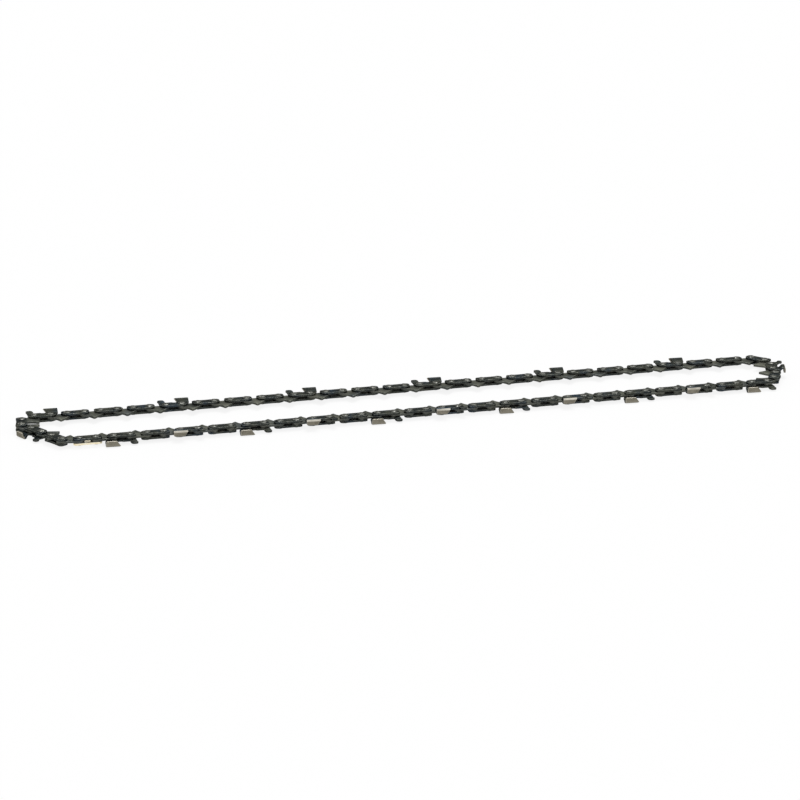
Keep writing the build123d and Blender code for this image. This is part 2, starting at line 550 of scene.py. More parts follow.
@dataclass(frozen=True)
class FoldLine:
    """Section of the folded blade, from the rivet line outwards, along its outer face."""

    folds: tuple[Fold, ...]
    level: float

    def at(self, along: float) -> tuple[Vector, float]:
        """Follow the section.

        Args:
            along: Distance from the rivet line, measured along the metal.

        Returns:
            Distance outwards and level of the outer face, and its slope in radians.
        """
        place = Vector((0.0, self.level))
        slope = 0.0
        left = along
        for fold in self.folds:
            part = min(left, fold.length)
            turned = fold.turn * part / fold.length
            chord = part * (math.sin(turned / 2) / (turned / 2) if turned else 1.0)
            middle = slope + turned / 2
            place = place + chord * Vector((math.cos(middle), math.sin(middle)))
            slope += turned
            left -= part
            if left <= 0.0:
                break
        return place, slope

    def bends(self, steps: int) -> Iterator[float]:
        """Distances at which the flat metal is creased, so that it can bend.

        Args:
            steps: Creases in each bend.

        Yields:
            Distance from the rivet line.
        """
        reached = 0.0
        for fold in self.folds:
            if fold.turn:
                for step in range(steps + 1):
                    yield reached + fold.length * step / steps
            reached += fold.length

    def length(self) -> float:
        """Length of the whole section along the metal."""
        return sum(fold.length for fold in self.folds)


@dataclass(frozen=True)
class Cutter:
    """A cutter: side plate with depth gauge, and a top plate that is folded back across.

    Attributes:
        overhang: How far the top plate reaches behind the rear rivet.
        relief: Fall of the top plate towards its rear, in degrees.
        foot: Height at which the flat side plate starts to lean out.
        gauge_drop: How much lower the depth gauge is than the blade.
        gauge_lead: How far its top reaches past the front of the side plate.
        gauge_set_in: How much less than the blade it leans out.
        hollow_sweep: Where the round of the gullet ends, in degrees from ahead, under it.
        hollow_grind: How far grinding sets the cutting edge back on its inner side.
        plated_bend: Share of the bend below the top plate that is plated.
        plated_depth: Share of the thickness that the plating reaches round the edges.
        painted_bend_highlight: How bright a highlight is painted on the outer face of that bend,
            from 0 to 1.
    """

    gauge: ChainGauge
    height: float = 7.4 * MM
    top_width: float = 3.4 * MM
    top_length: float = 8.0 * MM
    overhang: float = 4.7 * MM
    filing_angle: float = 30.0
    relief: float = 4.0
    corner_radius: float = 1.2 * MM
    foot: float = 3.4 * MM
    lean_angle: float = 45.0
    lean_radius: float = 0.8 * MM
    gauge_drop: float = 0.65 * MM
    gauge_top: float = 3.7 * MM
    gauge_corner: float = 1.5 * MM
    gauge_lead: float = 0.6 * MM
    gauge_set_in: float = 0.75 * MM
    gauge_rear_slope: float = 0.6 * MM
    file_radius: float = 1.9 * MM
    gullet_floor: float = 2.5 * MM
    gullet_ahead: float = 3.6 * MM
    hollow_sweep: float = 160.0
    hook_depth: float = 0.9 * MM
    rear_round: float = 0.7 * MM
    hollow_grind: float = 0.75 * MM
    plated_bend: float = 0.7
    plated_depth: float = 0.75
    # brightness of the painted highlight on the bend below the top plate
    painted_bend_highlight: float = 1.0
    crease_steps: int = 5
    corner_steps: int = 6
    gullet_steps: int = 10
    hook_steps: int = 8
    rear_steps: int = 4

    @property
    def blade_rear(self) -> float:
        """Rear of the top plate along the link."""
        return -self.overhang

    @property
    def blade_front(self) -> float:
        """Cutting corner along the link."""
        return self.top_length - self.overhang

    def _lean_out(self, level: float) -> tuple[list[Fold], float]:
        """The folds that lead from the side plate to metal further out.

        Args:
            level: Level of the outer face of that metal.

        Returns:
            The folds from the rivet line, and their reach outwards.
        """
        lean = math.radians(self.lean_angle)
        bend = self.lean_radius * lean
        rise = level - self.gauge.plate_outer
        slant = (rise - 2 * self.lean_radius * (1 - math.cos(lean))) / math.sin(lean)
        reach = self.foot + 2 * self.lean_radius * math.sin(lean) + slant * math.cos(lean)
        return [Fold(self.foot), Fold(bend, lean), Fold(slant), Fold(bend, -lean)], reach

    def blade_section(self) -> FoldLine:
        """The folds of the blade.

        Returns:
            The section from the rivet line to the inner edge of the top plate.
        """
        folds, reach = self._lean_out(self.gauge.half_kerf)
        folds.append(Fold(self.height - self.corner_radius - reach))
        folds.append(Fold(self.corner_radius * math.pi / 2, -math.pi / 2))
        folds.append(Fold(self.top_width - self.corner_radius))
        return FoldLine(tuple(folds), self.gauge.plate_outer)

    def gauge_section(self) -> FoldLine:
        """The folds of the depth gauge.

        Returns:
            The section from the rivet line to its top.
        """
        folds, reach = self._lean_out(self.gauge.half_kerf - self.gauge_set_in)
        folds.append(Fold(self.height - self.gauge_drop - reach))
        return FoldLine(tuple(folds), self.gauge.plate_outer)

    def _base_half(self) -> PlateEdge:
        """The half of the flat blank inside the rivet line. Y is outwards here.

        Returns:
            Its edge.
        """
        pitch, end = self.gauge.pitch, self.gauge.strap_end_radius
        edge = PlateEdge(-end, 0.0)
        edge.arc_about(0.0, 0.0, 90.0, self.gauge.end_steps)
        edge.line_to(pitch, -end)
        edge.arc_about(pitch, 0.0, 90.0, self.gauge.end_steps)
        return edge.rivet_line(pitch, 0.0, self.gauge.plate_hole, self.gauge.hole_steps)

    def _blade_half(self) -> PlateEdge:
        """The half of the flat blank with depth gauge, gullet and blade.

        Returns:
            Its edge.
        """
        pitch, end, corner = self.gauge.pitch, self.gauge.strap_end_radius, self.gauge_corner
        top_edge = self.blade_section().length()
        gauge_height = self.gauge_section().length()
        gauge_front = pitch + end + self.gauge_lead
        gauge_rear = gauge_front - self.gauge_top
        gullet = self.gullet_floor + self.file_radius
        shore = math.asin((gullet - self.foot) / self.file_radius)
        cutting_corner = top_edge - self.top_width + self.corner_radius / 2
        skew = math.tan(math.radians(self.filing_angle))
        front_inner = self.blade_front - self.top_width * skew
        hook_middle = (self.blade_front - self.hook_depth, (gullet + cutting_corner) / 2)
        round_start = self.blade_rear + self.rear_round
        edge = PlateEdge(pitch + end, 0.0)
        edge.line_to(pitch + end, self.foot)
        edge.line_to(gauge_front, gauge_height - corner)
        edge.arc_about(gauge_front - corner, gauge_height - corner, 90.0, self.corner_steps)
        edge.line_to(gauge_rear + corner, gauge_height)
        edge.arc_about(gauge_rear + corner, gauge_height - corner, 90.0, self.corner_steps)
        edge.line_to(gauge_rear - self.gauge_rear_slope, self.foot)
        edge.line_to(self.gullet_ahead + self.file_radius * math.cos(shore), self.foot)
        filed = math.degrees(shore) - self.hollow_sweep
        edge.arc_about(self.gullet_ahead, gullet, filed, self.gullet_steps)
        edge.arc_through(hook_middle, (self.blade_front, cutting_corner), self.hook_steps)
        edge.line_to(front_inner, top_edge)
        edge.line_to(round_start, top_edge)
        edge.arc_about(round_start, top_edge - self.rear_round, 90.0, self.rear_steps)
        edge.line_to(self.blade_rear, self.foot)
        edge.line_to(-end, 0.0)
        return edge.rivet_line(0.0, pitch, self.gauge.plate_hole, self.gauge.hole_steps)

    def _crease(self, plate: bmesh.types.BMesh) -> None:
        """Cut the flat blank across where it bends.

        Args:
            plate: The blank.
        """
        creases = set(self.blade_section().bends(self.crease_steps))
        creases.update(self.gauge_section().bends(self.crease_steps))
        for along in sorted(creases):
            bmesh.ops.bisect_plane(
                plate,
                geom=plate.verts[:] + plate.edges[:] + plate.faces[:],
                dist=WELD,
                plane_co=(0.0, along, 0.0),
                plane_no=(0.0, 1.0, 0.0),
            )

    def _mark_blade(self, plate: bmesh.types.BMesh) -> None:
        """Set the outer face of the top plate apart, which is plated, and paint a highlight on the
        outer face of its bend.

        Args:
            plate: The creased blank.
        """
        wear_and_highlight = plate.faces.layers.float[WORN_EDGE_AND_BEND_HIGHLIGHT]
        bend_end = self.blade_section().length() - self.top_width + self.corner_radius
        plated_from = bend_end - self.plated_bend * self.corner_radius * math.pi / 2
        deepest = self.plated_depth * self.gauge.plate_thickness
        for face in plate.faces:
            _, outwards, depth = face.calc_center_median()
            plated = outwards > plated_from and depth < deepest
            face.material_index = int(plated)
            # painted highlight: the outer face of the bend is set bright in the layer of edge
            # wear, so that the plating shows it pale
            if plated and depth < WELD and outwards < bend_end:
                face[wear_and_highlight] = self.painted_bend_highlight

    def _bend(self, plate: bmesh.types.BMesh) -> None:
        """Fold the creased blank, and let the top plate fall towards its rear.

        Args:
            plate: The blank, outer face down at its lowest level.
        """
        blade, depth_gauge = self.blade_section(), self.gauge_section()
        fall = math.tan(math.radians(self.relief))
        gullet = self.gullet_floor + self.file_radius
        root = self.foot - self.gauge.plate_thickness
        for vert in plate.verts:
            along, outwards, depth = vert.co
            if outwards < 0.0:
                vert.co = (along, -outwards, self.gauge.plate_outer - depth)
                continue
            section = blade if along < self.gullet_ahead else depth_gauge
            place, slope = section.at(outwards)
            reach = place.x + depth * math.sin(slope)
            level = place.y - depth * math.cos(slope)
            if along < self.gullet_ahead:
                if along > 0.0 and outwards > gullet:
                    along -= self.hollow_grind * depth / self.gauge.plate_thickness
                raised = min(max((outwards - root) / (self.foot - root), 0.0), 1.0)
                reach -= raised * fall * (self.blade_front - along)
            vert.co = (along, -reach, level)

    def mesh(self) -> bpy.types.Mesh:
        """Stamp, fold and grind the upper cutter.

        Returns:
            Its mesh, in the frame of a link.
        """
        halves = (self._base_half(), self._blade_half())
        plate = press(halves, self.gauge.plate_thickness, 0.0, self.gauge.edge_break)
        self._crease(plate)
        self._mark_blade(plate)
        self._bend(plate)
        bmesh.ops.recalc_face_normals(plate, faces=plate.faces[:])
        return as_mesh(plate, "cutter")


def heading_vector(heading: float) -> Vector:
    """Unit vector of a direction in radians, seen from above."""
    return Vector((math.cos(heading), math.sin(heading)))


@dataclass(frozen=True)
class LoopPath:
    """Where each link of the closed loop lies, and which body carries it. The marked link is 0."""

    gauge: ChainGauge
    start: Vector
    near_pairs: int = 21
    far_pairs: int = 23
    right_turns: tuple[float, ...] = (0.0, 42.0, 20.0, 14.0, 0.0, 14.0, 38.0, 52.0)
    left_turns: tuple[float, ...] = (36.0, 46.0)
    left_run: int = 4
    marker_link: int = 0
    pattern: tuple[LinkKind, ...] = (
        LinkKind.TIE_STRAPS,
        LinkKind.DRIVE_LINK,
        LinkKind.LOWER_CUTTER,
        LinkKind.DRIVE_LINK,
        LinkKind.TIE_STRAPS,
        LinkKind.DRIVE_LINK,
        LinkKind.UPPER_CUTTER,
        LinkKind.DRIVE_LINK,
    )

    @property
    def right_end(self) -> int:
        """First link of the right end."""
        return 2 * self.near_pairs

    @property
    def far_side(self) -> int:
        """First link of the far side."""
        return self.right_end + len(self.right_turns) - 1

    @property
    def left_end(self) -> int:
        """First link of the left end."""
        return self.far_side + 2 * self.far_pairs

    @property
    def links(self) -> int:
        """Number of links."""
        return self.left_end + len(self.left_turns) + self.left_run + 1

    def _open_headings(self) -> list[float]:
        """Follow the loop up to the links that close it.

        Returns:
            Directions of the links, in radians.
        """
        heading = 0.0
        headings = [heading] * self.right_end
        for turn in self.right_turns[:-1]:
            heading += math.radians(turn)
            headings.append(heading)
        heading += math.radians(self.right_turns[-1])
        headings += [heading] * (2 * self.far_pairs)
        for turn in self.left_turns:
            heading += math.radians(turn)
            headings.append(heading)
        return headings

    def _closing_headings(self, gap: Vector) -> list[float]:
        """Close the loop with a run of links in line and a last link, two sides of a triangle.

        Args:
            gap: Way from the end of the open path to its start.

        Returns:
            Directions of those links, in radians.
        """
        pitch, run = self.gauge.pitch, self.left_run * self.gauge.pitch
        cosine = (run**2 + gap.length_squared - pitch**2) / (2 * run * gap.length)
        run_heading = math.atan2(gap.y, gap.x) - math.acos(cosine)
        rest = gap - run * heading_vector(run_heading)
        return [run_heading] * self.left_run + [math.atan2(rest.y, rest.x)]

    def frames(self) -> list[Matrix]:
        """Walk round the loop.

        Returns:
            The frame of each link: rear rivet, direction of travel, and Z up.
        """
        pitch = self.gauge.pitch
        headings = self._open_headings()
        reach = sum((pitch * heading_vector(h) for h in headings), Vector((0.0, 0.0)))
        headings += self._closing_headings(-reach)
        place = self.start.copy()
        frames = []
        for heading in headings:
            frames.append(Matrix.Translation(place) @ Matrix.Rotation(heading, 4, "Z"))
            place += pitch * heading_vector(heading).to_3d()
        return frames

    def kind(self, link: int) -> LinkKind:
        """What the link of a number is."""
        return self.pattern[link % len(self.pattern)]

    def body(self, link: int) -> str:
        """Name of the body that carries a link.

        Args:
            link: Number of the link.

        Returns:
            The name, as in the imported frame.
        """
        ends = (("right", self.right_end, self.far_side), ("left", self.left_end, self.links))
        for end, first, stop in ends:
            if first <= link < stop:
                return f"{end}_end_{link - first + 1}_{self.kind(link).value}"
        side, first = ("near", 0) if link < self.right_end else ("far", self.far_side)
        pair = (link - first) // 2
        rear = first + 2 * pair
        plates = rear + rear % 2
        return f"{side}_pair_{pair + 1:02d}_{self.kind(plates).value}"


class Value:
    """A socket of a shader node that takes part in Python arithmetic."""

    def __init__(self, graph: "Graph", socket: Any) -> None:
        """Wrap a socket.

        Args:
            graph: Graph that the socket is in.
            socket: Output socket.
        """
        self.graph = graph
        self.socket = socket

    def __add__(self, other: "Value | float") -> "Value":
        """Sum of two values."""
        return self.graph.maths("ADD", self, other)

    def __radd__(self, other: float) -> "Value":
        """Sum of a number and a value."""
        return self.graph.maths("ADD", other, self)

    def __sub__(self, other: "Value | float") -> "Value":
        """Difference of two values."""
        return self.graph.maths("SUBTRACT", self, other)

    def __rsub__(self, other: float) -> "Value":
        """Difference of a number and a value."""
        return self.graph.maths("SUBTRACT", other, self)

    def __mul__(self, other: "Value | float") -> "Value":
        """Product of two values."""
        return self.graph.maths("MULTIPLY", self, other)

    def __rmul__(self, other: float) -> "Value":
        """Product of a number and a value."""
        return self.graph.maths("MULTIPLY", other, self)


class Graph:
    """The node graph of one material or of the world."""

    MIX_FACTOR, MIX_FIRST, MIX_SECOND, MIX_RESULT = 0, 6, 7, 2
    CLOUD_DETAIL, FINE_DETAIL = 3.0, 4.0

    def __init__(self, tree: bpy.types.NodeTree) -> None:
        """Start with an empty graph.

        Args:
            tree: Node tree to fill.
        """
        self.tree = tree
        tree.nodes.clear()

    def node(
        self,
        kind: str,
        settings: dict[str, Any] | None = None,
        sockets: dict[Any, Any] | None = None,
        output: str | int = 0,
    ) -> Value:
        """Add a node.

        Args:
            kind: Blender's name for the type of node.
            settings: Properties of the node, or the stops of a ramp, set first.
            sockets: Numbers, colours or values for its input sockets.
            output: Output socket that is wanted.

        Returns:
            That output.
        """
        node = self.tree.nodes.new(kind)
        for name, setting in (settings or {}).items():
            if name == "stops":
                self._set_stops(node.color_ramp, setting)
            else:
                setattr(node, name, setting)
        for name, value in (sockets or {}).items():
            if isinstance(value, Value):
                self.tree.links.new(value.socket, node.inputs[name])
            else:
                node.inputs[name].default_value = value
        return Value(self, node.outputs[output] if node.outputs else None)

    @staticmethod
    def _set_stops(ramp: bpy.types.ColorRamp, stops: list[Pair]) -> None:
        """Set the two stops of a grey ramp.

        Args:
            ramp: Ramp of the node.
            stops: Position and grey level of each.
        """
        for element, (position, level) in zip(ramp.elements, stops):
            element.position = position
            element.color = (level, level, level, 1.0)

    def maths(self, operation: str, first: Value | float, second: Value | float) -> Value:
        """Add a Math node.

        Args:
            operation: What it works out.
            first: First value.
            second: Second value.

        Returns:
            The result.
        """
        return self.node("ShaderNodeMath", {"operation": operation}, {0: first, 1: second})

    def mix(self, factor: Value, first: Any, second: Any) -> Value:
        """Mix two colours.

        Args:
            factor: Share of the second colour.
            first: First colour.
            second: Second colour.

        Returns:
            The mixed colour.
        """
        sockets = {self.MIX_FACTOR: factor, self.MIX_FIRST: first, self.MIX_SECOND: second}
        return self.node("ShaderNodeMix", {"data_type": "RGBA"}, sockets, self.MIX_RESULT)

    def noise(self, place: Value, size: float, detail: float = CLOUD_DETAIL) -> Value:
        """Cloudy noise.

        Args:
            place: Coordinates.
            size: Size of its lumps in metres.
            detail: Finer octaves.

        Returns:
            Noise about one half.
        """
        sockets = {"Vector": place, "Scale": 1.0 / size, "Detail": detail}
        return self.node("ShaderNodeTexNoise", None, sockets, "Fac")

    def ramp(self, value: Value, low: float, high: float) -> Value:
        """Spread a value between two levels to the range from 0 to 1.

        Args:
            value: Value to spread.
            low: Level that becomes 0.
            high: Level that becomes 1.

        Returns:
            The spread value.
        """
        stops = [(low, 0.0), (high, 1.0)]
        return self.node("ShaderNodeValToRGB", {"stops": stops}, {"Fac": value})

    def attribute(self, name: str) -> Value:
        """A value that the mesh itself carries."""
        return self.node("ShaderNodeAttribute", {"attribute_name": name}, None, "Fac")

    def bump(self, height: Value, depth: float, strength: float) -> Value:
        """Relief of the surface.

        Args:
            height: Height from 0 to 1.
            depth: Height of the relief in metres.
            strength: Strength of the effect.

        Returns:
            The bent normal.
        """
        sockets = {"Height": height, "Distance": depth, "Strength": strength}
        return self.node("ShaderNodeBump", None, sockets, "Normal")

    def place(self) -> Value:
        """Object coordinates, in metres."""
        return self.node("ShaderNodeTexCoord", None, None, "Object")

    def drawn_out(self, place: Value, stretch: Triple, turn: float = 0.0) -> Value:
        """Coordinates for a pattern that is drawn out one way.

        Args:
            place: Coordinates.
            stretch: Scale of the coordinates along each axis.
            turn: Turn about the vertical, in degrees.

        Returns:
            The turned and scaled coordinates.
        """
        sockets = {"Vector": place, "Rotation": (0.0, 0.0, math.radians(turn)), "Scale": stretch}
        return self.node("ShaderNodeMapping", {"vector_type": "POINT"}, sockets)

    def shown(self) -> Value:
        """Tell what the camera sees, straight on or in metal and glass, from other light.

        Returns:
            1 for what it sees, and otherwise 0.
        """
        kinds = ("Is Camera Ray", "Is Glossy Ray", "Is Transmission Ray")
        seen, mirrored, through = (
            self.node("ShaderNodeLightPath", None, None, kind) for kind in kinds
        )
        return self.maths("MAXIMUM", seen, self.maths("MAXIMUM", mirrored, through))

    def surface(self, **sockets: Any) -> None:
        """Finish a material with one principled shader.

        Args:
            sockets: Values of the shader, with spaces in their names as underscores.
        """
        named = {name.replace("_", " "): value for name, value in sockets.items()}
        shader = self.node("ShaderNodeBsdfPrincipled", None, named, "BSDF")
        self.node("ShaderNodeOutputMaterial", None, {"Surface": shader})


def new_graph(name: str) -> tuple[bpy.types.Material, Graph]:
    """Start a material.

    Args:
        name: Name of the finish.

    Returns:
        The material and its empty graph.
    """
    material = bpy.data.materials.new(name)
    material.use_nodes = True
    return material, Graph(material.node_tree)


@dataclass(frozen=True)
class Cloud:
    """A cloudy pattern: the size of its lumps, and the noise levels that become 0 and 1."""

    size: float
    low: float
    high: float

    def on(self, graph: Graph, place: Value) -> Value:
        """The pattern at some coordinates, from 0 to 1."""
        return graph.ramp(graph.noise(place, self.size), self.low, self.high)


@dataclass(frozen=True)
class Blend:
    """A number that patterns add to: its least, and the most that each of them adds."""

    least: float
    shares: tuple[float, ...]

    def of(self, *patterns: Value) -> Value:
        """Add up the number.

        Args:
            patterns: Patterns from 0 to 1, one for each share.

        Returns:
            The sum.
        """
        total: Any = self.least
        for share, pattern in zip(self.shares, patterns):
            total = total + share * pattern
        return total


@dataclass(frozen=True)
class OiledSteel:
    """Dark tempered strip steel under a thin film of oil, bright where its edges rub."""

    name: str = "oiled_steel"
    cold: Colour = (0.019, 0.024, 0.027, 1.0)
    warm: Colour = (0.052, 0.055, 0.045, 1.0)
    blued: Colour = (0.024, 0.039, 0.058, 1.0)
    rubbed: Colour = (0.26, 0.265, 0.235, 1.0)
    grazing: Colour = (0.30, 0.30, 0.28, 1.0)
    metal: float = 0.9
    gloss: float = 0.25
    cloud: Cloud = Cloud(7.0 * MM, 0.35, 0.65)
    temper: Cloud = Cloud(11.0 * MM, 0.52, 0.68)
    temper_share: float = 0.7
    patch: Cloud = Cloud(1.6 * MM, 0.42, 0.66)
    edge_wear: Blend = Blend(0.12, (0.75,))
    scuff: Cloud = Cloud(0.3 * MM, 0.58, 0.74)
    scuff_turn: float = 17.0
    scuff_stretch: Triple = (0.1, 1.0, 1.0)
    scuff_wear: Blend = Blend(0.1, (0.35,))
    grain_size: float = 0.28 * MM
    grain_depth: float = 0.02 * MM
    grain_strength: float = 0.35
    speck_levels: Pair = (0.62, 0.74)
    speck_wear: Blend = Blend(0.12, (0.3,))
    roughness: Blend = Blend(0.30, (0.16, 0.18, 0.1))

    def material(self) -> bpy.types.Material:
        """Build the material.

        Returns:
            The material.
        """
        material, graph = new_graph(self.name)
        place = graph.place()
        cloud = self.cloud.on(graph, place)
        temper = self.temper.on(graph, place)
        patchy = self.patch.on(graph, place)
        scuff = self.scuff.on(graph, graph.drawn_out(place, self.scuff_stretch, self.scuff_turn))
        grain = graph.noise(place, self.grain_size, graph.FINE_DETAIL)
        speck = graph.ramp(grain, *self.speck_levels)
        edge = graph.attribute(WORN_EDGE_AND_BEND_HIGHLIGHT)
        tone = graph.mix(cloud, self.cold, self.warm)
        tone = graph.mix(self.temper_share * temper, tone, self.blued)
        tone = graph.mix(speck * self.speck_wear.of(patchy), tone, self.rubbed)
        tone = graph.mix(scuff * self.scuff_wear.of(patchy), tone, self.rubbed)
        tone = graph.mix(edge * self.edge_wear.of(patchy), tone, self.rubbed)
        graph.surface(
            Base_Color=tone,
            Metallic=self.metal,
            Specular_Tint=self.grazing,
            Specular_IOR_Level=self.gloss,
            Roughness=self.roughness.of(cloud, grain, scuff),
            Normal=graph.bump(grain, self.grain_depth, self.grain_strength),
        )
        return material


@dataclass(frozen=True)
class PaleAndLitSteel(OiledSteel):
    """The same steel made paler for the drive links: partly their own lighter tone, partly painted
    light for the light on their saddles between the straps.
    """

    name: str = "pale_and_lit_steel"
    cold: Colour = (0.062, 0.067, 0.062, 1.0)
    warm: Colour = (0.108, 0.110, 0.092, 1.0)
    blued: Colour = (0.070, 0.080, 0.088, 1.0)


@dataclass(frozen=True)
class SpunSteel:
    """Rivet steel, with rings that the spinning tool leaves on the heads, and painted glints."""

    name: str = "spun_steel"
    shade: Colour = (0.034, 0.036, 0.034, 1.0)
    crest: Colour = (0.105, 0.107, 0.096, 1.0)
    glint: Colour = (0.40, 0.40, 0.37, 1.0)
    grazing: Colour = (0.40, 0.40, 0.38, 1.0)
    metal: float = 0.95
    rings_per_mm: float = 4.0
    ring_waver: float = 2.5
    waver_size: float = 0.9 * MM
    ring_depth: float = 0.02 * MM
    ring_strength: float = 0.3
    stain: Cloud = Cloud(3.0 * MM, 0.36, 0.66)
    # where the painted glints lie on the rivets
    glint_patches: Cloud = Cloud(1.1 * MM, 0.56, 0.72)
    crest_share: Blend = Blend(0.0, (0.5, 0.4))
    roughness: Blend = Blend(0.24, (0.14, 0.14))

    def material(self) -> bpy.types.Material:
        """Build the material.

        Returns:
            The material.
        """
        material, graph = new_graph(self.name)
        place = graph.place()
        waver = self.ring_waver * graph.noise(place, self.waver_size)
        phase = graph.attribute(TURNED_RING) * (math.tau * self.rings_per_mm) + waver
        ring = 0.5 + 0.5 * graph.maths("SINE", phase, 0.0)
        stain = self.stain.on(graph, place)
        tone = graph.mix(self.crest_share.of(ring, stain), self.shade, self.crest)
        # Painted glints: patches of pale colour that stand in for highlights on the heads.
        tone = graph.mix(self.glint_patches.on(graph, place), tone, self.glint)
        graph.surface(
            Base_Color=tone,
            Metallic=self.metal,
            Specular_Tint=self.grazing,
            Roughness=self.roughness.of(ring, stain),
            Normal=graph.bump(ring, self.ring_depth, self.ring_strength),
        )
        return material


@dataclass(frozen=True)
class HardPlating:
    """Satin hard plating of the cutters, slightly warm, with polishing marks."""

    name: str = "hard_plating"
    bright: Colour = (0.238, 0.220, 0.174, 1.0)
    dull: Colour = (0.126, 0.116, 0.091, 1.0)
    # pale colour of rubbed edges, also the colour of the painted highlight on the cutters' bends
    ground_and_bend_highlight: Colour = (0.78, 0.75, 0.66, 1.0)
    grazing: Colour = (0.55, 0.54, 0.50, 1.0)
    metal: float = 0.95
    cloud: Cloud = Cloud(4.5 * MM, 0.36, 0.64)
    speckle: Cloud = Cloud(0.5 * MM, 0.40, 0.70)
    dull_share: Blend = Blend(0.0, (0.55, 0.35))
    edge_wear: Blend = Blend(0.35, (0.5,))
    mark_size: float = 0.35 * MM
    mark_stretch: Triple = (1.0, 1.0, 6.0)
    mark_depth: float = 0.012 * MM
    mark_strength: float = 0.3
    roughness: Blend = Blend(0.27, (0.12, 0.12))

    def material(self) -> bpy.types.Material:
        """Build the material.

        Returns:
            The material.
        """
        material, graph = new_graph(self.name)
        place = graph.place()
        along_marks = graph.drawn_out(place, self.mark_stretch)
        marks = graph.noise(along_marks, self.mark_size, graph.FINE_DETAIL)
        cloud = self.cloud.on(graph, place)
        speckle = self.speckle.on(graph, place)
        edge = graph.attribute(WORN_EDGE_AND_BEND_HIGHLIGHT)
        tone = graph.mix(self.dull_share.of(cloud, speckle), self.bright, self.dull)
        # Rubbed edges, and the painted highlight on the cutters' bends, from the same face layer.
        tone = graph.mix(edge * self.edge_wear.of(cloud), tone, self.ground_and_bend_highlight)
        graph.surface(
            Base_Color=tone,
            Metallic=self.metal,
            Specular_Tint=self.grazing,
            Roughness=self.roughness.of(cloud, marks),
            Normal=graph.bump(marks, self.mark_depth, self.mark_strength),
        )
        return material


@dataclass(frozen=True)
class GoldPassivation:
    """Gold coloured passivation of the strap that marks the start of the chain."""

    name: str = "gold_passivation"
    gold: Colour = (0.90, 0.77, 0.50, 1.0)
    straw: Colour = (0.95, 0.89, 0.70, 1.0)
    rubbed: Colour = (0.97, 0.94, 0.83, 1.0)
    metal: float = 0.9
    cloud: Cloud = Cloud(3.0 * MM, 0.35, 0.65)
    edge_wear: float = 0.6
    grain_size: float = 0.3 * MM
    grain_depth: float = 0.012 * MM
    grain_strength: float = 0.3
    roughness: Blend = Blend(0.24, (0.1, 0.12))

    def material(self) -> bpy.types.Material:
        """Build the material.

        Returns:
            The material.
        """
        material, graph = new_graph(self.name)
        place = graph.place()
        cloud = self.cloud.on(graph, place)
        grain = graph.noise(place, self.grain_size, graph.FINE_DETAIL)
        tone = graph.mix(cloud, self.gold, self.straw)
        tone = graph.mix(graph.attribute(WORN_EDGE_AND_BEND_HIGHLIGHT) * self.edge_wear, tone, self.rubbed)
        graph.surface(
            Base_Color=tone,
            Metallic=self.metal,
            Roughness=self.roughness.of(cloud, grain),
            Normal=graph.bump(grain, self.grain_depth, self.grain_strength),
        )
        return material


@dataclass(frozen=True)
class PaleFloor:
    """Plain matt white floor, with a share of even white where the camera sees it."""

    name: str = "pale_floor"
    white: Colour = (0.98, 0.98, 0.98, 1.0)
    even: float = 0.86

    def material(self) -> bpy.types.Material:
        """Build the material.

        Returns:
            The material.
        """
        material, graph = new_graph(self.name)
        matt = graph.node("ShaderNodeBsdfDiffuse", None, {"Color": self.white}, "BSDF")
        white = graph.node("ShaderNodeEmission", None, {"Strength": 1.0}, "Emission")
        shaded = 1.0 - self.even * graph.shown()
        floor = graph.node("ShaderNodeMixShader", None, {0: shaded, 1: white, 2: matt}, "Shader")
        graph.node("ShaderNodeOutputMaterial", None, {"Surface": floor})
        return material


